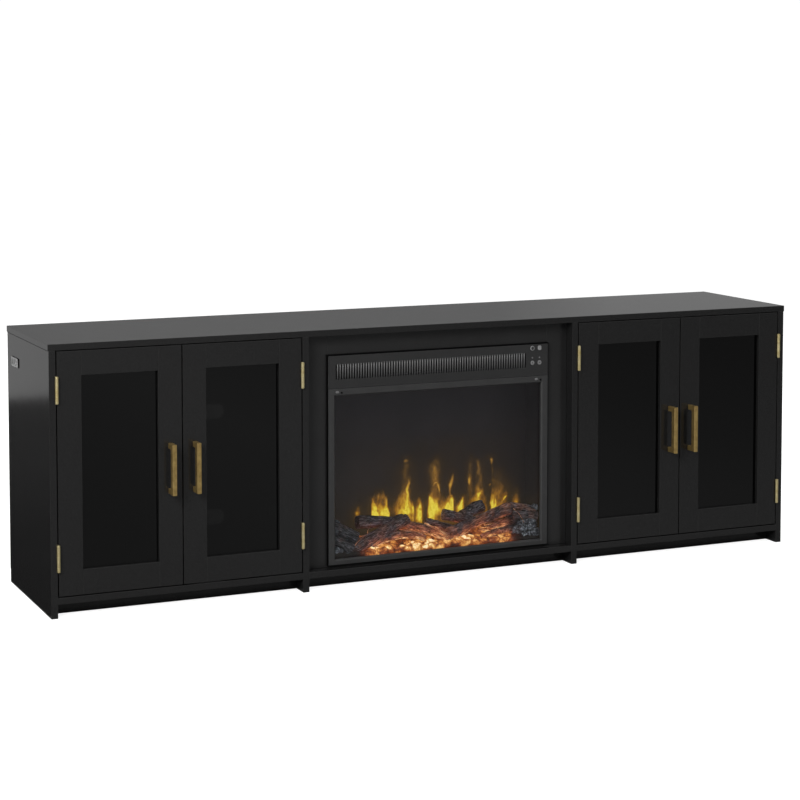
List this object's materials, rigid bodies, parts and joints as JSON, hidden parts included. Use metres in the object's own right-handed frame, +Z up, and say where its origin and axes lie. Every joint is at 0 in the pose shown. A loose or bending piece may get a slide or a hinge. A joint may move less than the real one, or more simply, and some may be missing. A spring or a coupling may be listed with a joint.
{
  "type": "fireplace tv stand",
  "caption": "Long black television stand with framed glass doors on brass butt hinges, a shelf in each side cabinet, and an electric fireplace with a grille and push buttons in the middle.",
  "frame": {"origin": "on the floor, under the middle of the whole stand with its handles", "axes": "+X to the viewer's right, +Y to the back, +Z up"},
  "size_m": [2.032, 0.44, 0.648],
  "materials": {
    "black_laminate": "satin black laminate on board",
    "hardboard": "matt black hardboard",
    "brass": "brushed brass plating",
    "tinted_glass": "dark tinted, polished",
    "clear_glass": "clear, polished",
    "black_metal": "satin black enamel",
    "zinc_sheet": "bare zinc-coated sheet",
    "grey_plastic": "matt moulded",
    "soft_key": "satin moulded",
    "ember_resin": "translucent, lit from below",
    "log_resin": "cast and painted as charred wood and stone",
    "smoke_screen": "dark frosted screen that shows the flames",
    "foil": "mirror-bright reflecting flakes"
  },
  "bodies": {
    "stand": {"top_panel": "black_laminate", "side_panel_left": "black_laminate", "partition_left": "black_laminate", "side_panel_right": "black_laminate", "partition_right": "black_laminate", "bottom_panel_left": "black_laminate", "toe_kick_left": "black_laminate", "bottom_panel_centre": "black_laminate", "toe_kick_centre": "black_laminate", "bottom_panel_right": "black_laminate", "toe_kick_right": "black_laminate", "shelf_left": "black_laminate", "shelf_right": "black_laminate", "back_panel_left": "hardboard", "back_panel_right": "hardboard", "back_panel_centre": "hardboard", "door_1_hinge_upper_cabinet_leaf": "brass", "door_1_hinge_lower_cabinet_leaf": "brass", "door_2_hinge_upper_cabinet_leaf": "brass", "door_2_hinge_lower_cabinet_leaf": "brass", "door_3_hinge_upper_cabinet_leaf": "brass", "door_3_hinge_lower_cabinet_leaf": "brass", "door_4_hinge_upper_cabinet_leaf": "brass", "door_4_hinge_lower_cabinet_leaf": "brass", "charging_station": "grey_plastic", "fireplace_surround": "black_laminate", "grille_panel": "black_metal", "glass_frame": "black_metal", "fireplace_glass": "clear_glass", "firebox_case": "black_metal", "ember_bed": "ember_resin", "log_set": "log_resin", "flame_screen": "smoke_screen", "blower_housing": "zinc_sheet"},
    "door_1": {"door_1_frame": "black_laminate", "door_1_glass": "tinted_glass", "door_1_handle": "brass", "door_1_hinge_upper_door_leaf": "brass", "door_1_hinge_lower_door_leaf": "brass"},
    "door_2": {"door_2_frame": "black_laminate", "door_2_glass": "tinted_glass", "door_2_handle": "brass", "door_2_hinge_upper_door_leaf": "brass", "door_2_hinge_lower_door_leaf": "brass"},
    "door_3": {"door_3_frame": "black_laminate", "door_3_glass": "tinted_glass", "door_3_handle": "brass", "door_3_hinge_upper_door_leaf": "brass", "door_3_hinge_lower_door_leaf": "brass"},
    "door_4": {"door_4_frame": "black_laminate", "door_4_glass": "tinted_glass", "door_4_handle": "brass", "door_4_hinge_upper_door_leaf": "brass", "door_4_hinge_lower_door_leaf": "brass"},
    "flame_spindle": {"flame_spindle": "foil"},
    "blower_wheel": {"blower_wheel": "black_metal"},
    "power_button": {"power_button": "soft_key"},
    "mode_button": {"mode_button": "soft_key"},
    "flame_button": {"flame_button": "soft_key"},
    "heat_button": {"heat_button": "soft_key"}
  },
  "joints": [
    {"name": "door_1_swing", "type": "hinge", "parent": "stand", "child": "door_1", "pos_m": [-0.9964, -0.1904, 0.3413], "axis": [0, 0, -1], "range_deg": [0, 120]},
    {"name": "door_2_swing", "type": "hinge", "parent": "stand", "child": "door_2", "pos_m": [-0.3836, -0.1904, 0.3413], "axis": [0, 0, 1], "range_deg": [0, 120]},
    {"name": "door_3_swing", "type": "hinge", "parent": "stand", "child": "door_3", "pos_m": [0.3836, -0.1904, 0.3413], "axis": [0, 0, -1], "range_deg": [0, 120]},
    {"name": "door_4_swing", "type": "hinge", "parent": "stand", "child": "door_4", "pos_m": [0.9964, -0.1904, 0.3413], "axis": [0, 0, 1], "range_deg": [0, 120]},
    {"name": "flame_spindle_spin", "type": "hinge", "parent": "stand", "child": "flame_spindle", "pos_m": [0, -0.0314, 0.0973], "axis": [1, 0, 0], "continuous": true},
    {"name": "blower_wheel_spin", "type": "hinge", "parent": "stand", "child": "blower_wheel", "pos_m": [0, -0.0942, 0.5231], "axis": [1, 0, 0], "continuous": true},
    {"name": "power_button_press", "type": "slide", "parent": "stand", "child": "power_button", "axis": [0, 1, 0], "range_m": [0, 0.0012], "stiffness_N_per_m": 400},
    {"name": "mode_button_press", "type": "slide", "parent": "stand", "child": "mode_button", "axis": [0, 1, 0], "range_m": [0, 0.0012], "stiffness_N_per_m": 400},
    {"name": "flame_button_press", "type": "slide", "parent": "stand", "child": "flame_button", "axis": [0, 1, 0], "range_m": [0, 0.0012], "stiffness_N_per_m": 400},
    {"name": "heat_button_press", "type": "slide", "parent": "stand", "child": "heat_button", "axis": [0, 1, 0], "range_m": [0, 0.0012], "stiffness_N_per_m": 400}
  ]
}
